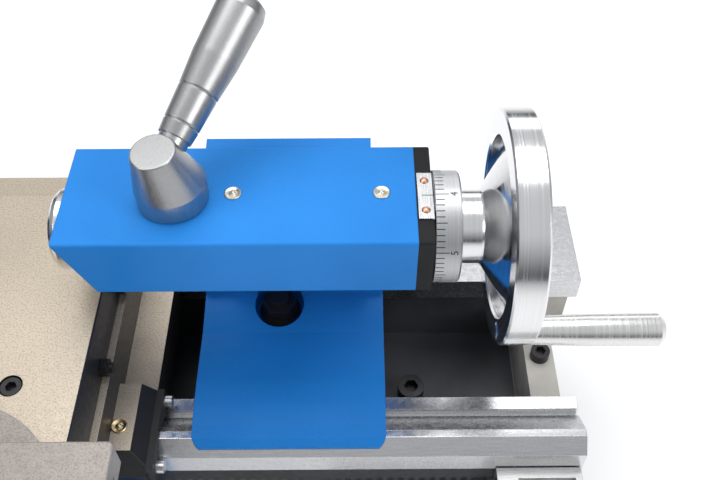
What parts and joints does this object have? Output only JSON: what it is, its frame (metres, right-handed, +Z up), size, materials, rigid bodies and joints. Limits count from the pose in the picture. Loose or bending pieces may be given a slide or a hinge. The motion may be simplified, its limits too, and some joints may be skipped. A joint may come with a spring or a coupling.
{
  "type": "bench metal lathe",
  "caption": "Bench metal-turning lathe: ribbed bed with vee and flat ways, geared headstock with three-jaw chuck, carriage with compound slide, and a tailstock with quill and handwheel.",
  "frame": {"origin": "on the bench, at the middle of the four bench bolts", "axes": "+X along the bed from the headstock to the tailstock, +Y away from the operator, +Z up"},
  "size_m": [1.0087, 0.535, 0.3713],
  "materials": {
    "blue_paint": "satin",
    "dark_paint": "satin",
    "grey_paint": "satin",
    "ground_iron": "ground",
    "bright_steel": "polished",
    "satin_steel": "satin",
    "blackened_steel": "blackened",
    "plate_aluminium": "satin",
    "brass": "satin",
    "rubber": "matte",
    "black_plastic": "matte",
    "red_plastic": "gloss"
  },
  "bodies": {
    "machine_frame": {"bed": "dark_paint", "bed_feet": "grey_paint", "bed_screws": "blackened_steel", "rack": "satin_steel", "leadscrew_brackets": "ground_iron", "headstock": "blue_paint", "spindle_bearings": "satin_steel", "guard_plate": "dark_paint", "motor": "dark_paint", "drive_belt": "rubber", "control_box": "grey_paint"},
    "spindle": {"spindle": "bright_steel", "spindle_pulley": "satin_steel", "chuck_body": "bright_steel"},
    "jaw_1": {"chuck_jaw_1": "bright_steel"},
    "jaw_2": {"chuck_jaw_2": "bright_steel"},
    "jaw_3": {"chuck_jaw_3": "bright_steel"},
    "motor_shaft": {"motor_pulley": "satin_steel"},
    "idler": {"idler_gear": "satin_steel"},
    "leadscrew": {"leadscrew": "bright_steel", "leadscrew_gear": "satin_steel"},
    "gear_cover": {"gear_cover": "blue_paint"},
    "estop": {"estop_button": "red_plastic"},
    "speed_knob": {"speed_knob": "black_plastic"},
    "carriage": {"saddle": "ground_iron", "way_wipers": "rubber", "wiper_screws": "satin_steel", "saddle_oilers": "brass", "apron": "blue_paint"},
    "apron_wheel": {"apron_handwheel": "bright_steel", "rack_pinion": "satin_steel"},
    "apron_grip": {"apron_wheel_handle": "black_plastic"},
    "half_nut": {"half_nut": "brass"},
    "half_nut_lever": {"half_nut_lever": "satin_steel"},
    "cross_slide": {"cross_slide": "ground_iron", "gib_screws": "blackened_steel"},
    "cross_crank": {"cross_feed_screw": "satin_steel", "cross_feed_crank": "bright_steel"},
    "compound": {"compound_base": "ground_iron"},
    "top_slide": {"top_slide": "ground_iron"},
    "top_crank": {"top_slide_screw": "satin_steel", "top_slide_crank": "bright_steel"},
    "tool_post": {"tool_post": "blackened_steel", "tool_screws": "blackened_steel"},
    "post_handle": {"tool_post_handle": "bright_steel"},
    "tailstock": {"tailstock_base": "blue_paint", "tailstock_body": "blue_paint", "tailstock_end_cap": "dark_paint", "index_plate": "plate_aluminium", "index_rivets": "brass", "tailstock_oilers": "brass", "tailstock_clamp_bolt": "blackened_steel", "tailstock_clamp_plate": "satin_steel"},
    "quill": {"tailstock_quill": "bright_steel"},
    "tailstock_wheel": {"quill_screw": "satin_steel", "quill_dial": "satin_steel", "tailstock_handwheel": "bright_steel"},
    "wheel_grip": {"tailstock_wheel_handle": "bright_steel"},
    "quill_lock": {"quill_lock_hub": "satin_steel", "quill_lock_rod": "satin_steel"}
  },
  "joints": [
    {"name": "spindle_turn", "type": "hinge", "parent": "machine_frame", "child": "spindle", "pos_m": [-0.378, 0, 0.27], "axis": [1, 0, 0], "continuous": true},
    {"name": "jaw_3_slide", "type": "slide", "parent": "spindle", "child": "jaw_3", "axis": [0, 0.866, -0.5], "range_m": [-0.005, 0.008]},
    {"name": "jaw_2_slide", "type": "slide", "parent": "spindle", "child": "jaw_2", "axis": [0, -0.866, -0.5], "range_m": [-0.005, 0.008]},
    {"name": "jaw_1_slide", "type": "slide", "parent": "spindle", "child": "jaw_1", "axis": [0, 0, 1], "range_m": [-0.005, 0.008]},
    {"name": "motor_turn", "type": "hinge", "parent": "machine_frame", "child": "motor_shaft", "pos_m": [-0.46, 0.168, 0.232], "axis": [1, 0, 0], "continuous": true},
    {"name": "idler_turn", "type": "hinge", "parent": "machine_frame", "child": "idler", "pos_m": [-0.4755, -0.05482, 0.1955], "axis": [1, 0, 0], "continuous": true},
    {"name": "leadscrew_turn", "type": "hinge", "parent": "machine_frame", "child": "leadscrew", "pos_m": [0, -0.088, 0.088], "axis": [1, 0, 0], "continuous": true},
    {"name": "gear_cover_hinge", "type": "hinge", "parent": "machine_frame", "child": "gear_cover", "pos_m": [-0.455, 0.244, 0.2], "axis": [0, 0, -1], "range_deg": [0, 95]},
    {"name": "estop_press", "type": "slide", "parent": "machine_frame", "child": "estop", "axis": [0, 1, 0], "range_m": [0, 0.004]},
    {"name": "speed_knob_turn", "type": "hinge", "parent": "machine_frame", "child": "speed_knob", "pos_m": [-0.33, -0.12, 0.236], "axis": [0, -1, 0], "range_deg": [-270, 0]},
    {"name": "carriage_slide", "type": "slide", "parent": "machine_frame", "child": "carriage", "axis": [1, 0, 0], "range_m": [-0.225, 0.004]},
    {"name": "apron_wheel_turn", "type": "hinge", "parent": "carriage", "child": "apron_wheel", "pos_m": [0.076, -0.12, 0.116], "axis": [0, -1, 0], "range_deg": [-1080, 25]},
    {"name": "apron_grip_turn", "type": "hinge", "parent": "apron_wheel", "child": "apron_grip", "pos_m": [0.0565, -0.14, 0.08815], "axis": [0, -1, 0], "continuous": true},
    {"name": "half_nut_lever_turn", "type": "hinge", "parent": "carriage", "child": "half_nut_lever", "pos_m": [0.17, -0.11, 0.122], "axis": [0, -1, 0], "range_deg": [0, 45]},
    {"name": "half_nut_drop", "type": "slide", "parent": "carriage", "child": "half_nut", "axis": [0, 0, -1], "range_m": [0, 0.006]},
    {"name": "cross_slide_feed", "type": "slide", "parent": "carriage", "child": "cross_slide", "axis": [0, 1, 0], "range_m": [-0.025, 0.068]},
    {"name": "cross_crank_turn", "type": "hinge", "parent": "cross_slide", "child": "cross_crank", "pos_m": [0.126, -0.22, 0.206], "axis": [0, -1, 0], "range_deg": [-8161, 3001]},
    {"name": "compound_swivel", "type": "hinge", "parent": "cross_slide", "child": "compound", "pos_m": [0.126, -0.144, 0.235], "axis": [0, 0, -1], "range_deg": [-20, 60]},
    {"name": "top_slide_feed", "type": "slide", "parent": "compound", "child": "top_slide", "axis": [-1, 0, 0], "range_m": [-0.015, 0.05]},
    {"name": "top_crank_turn", "type": "hinge", "parent": "top_slide", "child": "top_crank", "pos_m": [0.23, -0.144, 0.2456], "axis": [1, 0, 0], "range_deg": [-12001, 3601]},
    {"name": "tool_post_index", "type": "hinge", "parent": "top_slide", "child": "tool_post", "pos_m": [0.096, -0.144, 0.27], "axis": [0, 0, 1], "continuous": true},
    {"name": "post_handle_turn", "type": "hinge", "parent": "tool_post", "child": "post_handle", "pos_m": [0.096, -0.144, 0.3], "axis": [0, 0, 1], "range_deg": [-30, 120]},
    {"name": "tailstock_slide", "type": "slide", "parent": "machine_frame", "child": "tailstock", "axis": [1, 0, 0], "range_m": [-0.012, 0.1]},
    {"name": "quill_feed", "type": "slide", "parent": "tailstock", "child": "quill", "axis": [-1, 0, 0], "range_m": [-0.006, 0.062]},
    {"name": "tailstock_wheel_turn", "type": "hinge", "parent": "tailstock", "child": "tailstock_wheel", "pos_m": [0.39, 0, 0.27], "axis": [1, 0, 0], "range_deg": [-7439, 719]},
    {"name": "wheel_grip_turn", "type": "hinge", "parent": "tailstock_wheel", "child": "wheel_grip", "pos_m": [0.43, -0.042, 0.2341], "axis": [1, 0, 0], "continuous": true},
    {"name": "quill_lock_turn", "type": "hinge", "parent": "tailstock", "child": "quill_lock", "pos_m": [0.2355, -0.003, 0.31], "axis": [0, 0, 1], "range_deg": [-60, 30]}
  ],
  "couplings": [
    {"joint": "jaw_2_slide", "follows": "jaw_1_slide", "ratio": 1},
    {"joint": "jaw_3_slide", "follows": "jaw_1_slide", "ratio": 1},
    {"joint": "motor_turn", "follows": "spindle_turn", "ratio": 2},
    {"joint": "idler_turn", "follows": "spindle_turn", "ratio": -0.48},
    {"joint": "leadscrew_turn", "follows": "spindle_turn", "ratio": 0.6},
    {"joint": "apron_wheel_turn", "follows": "carriage_slide", "rad_per_m": 83.333},
    {"joint": "half_nut_drop", "follows": "half_nut_lever_turn", "m_per_rad": 0.0076394},
    {"joint": "cross_crank_turn", "follows": "cross_slide_feed", "rad_per_m": -2094.4},
    {"joint": "top_crank_turn", "follows": "top_slide_feed", "rad_per_m": -4188.8},
    {"joint": "quill_feed", "follows": "tailstock_wheel_turn", "m_per_rad": -0.00047746}
  ]
}
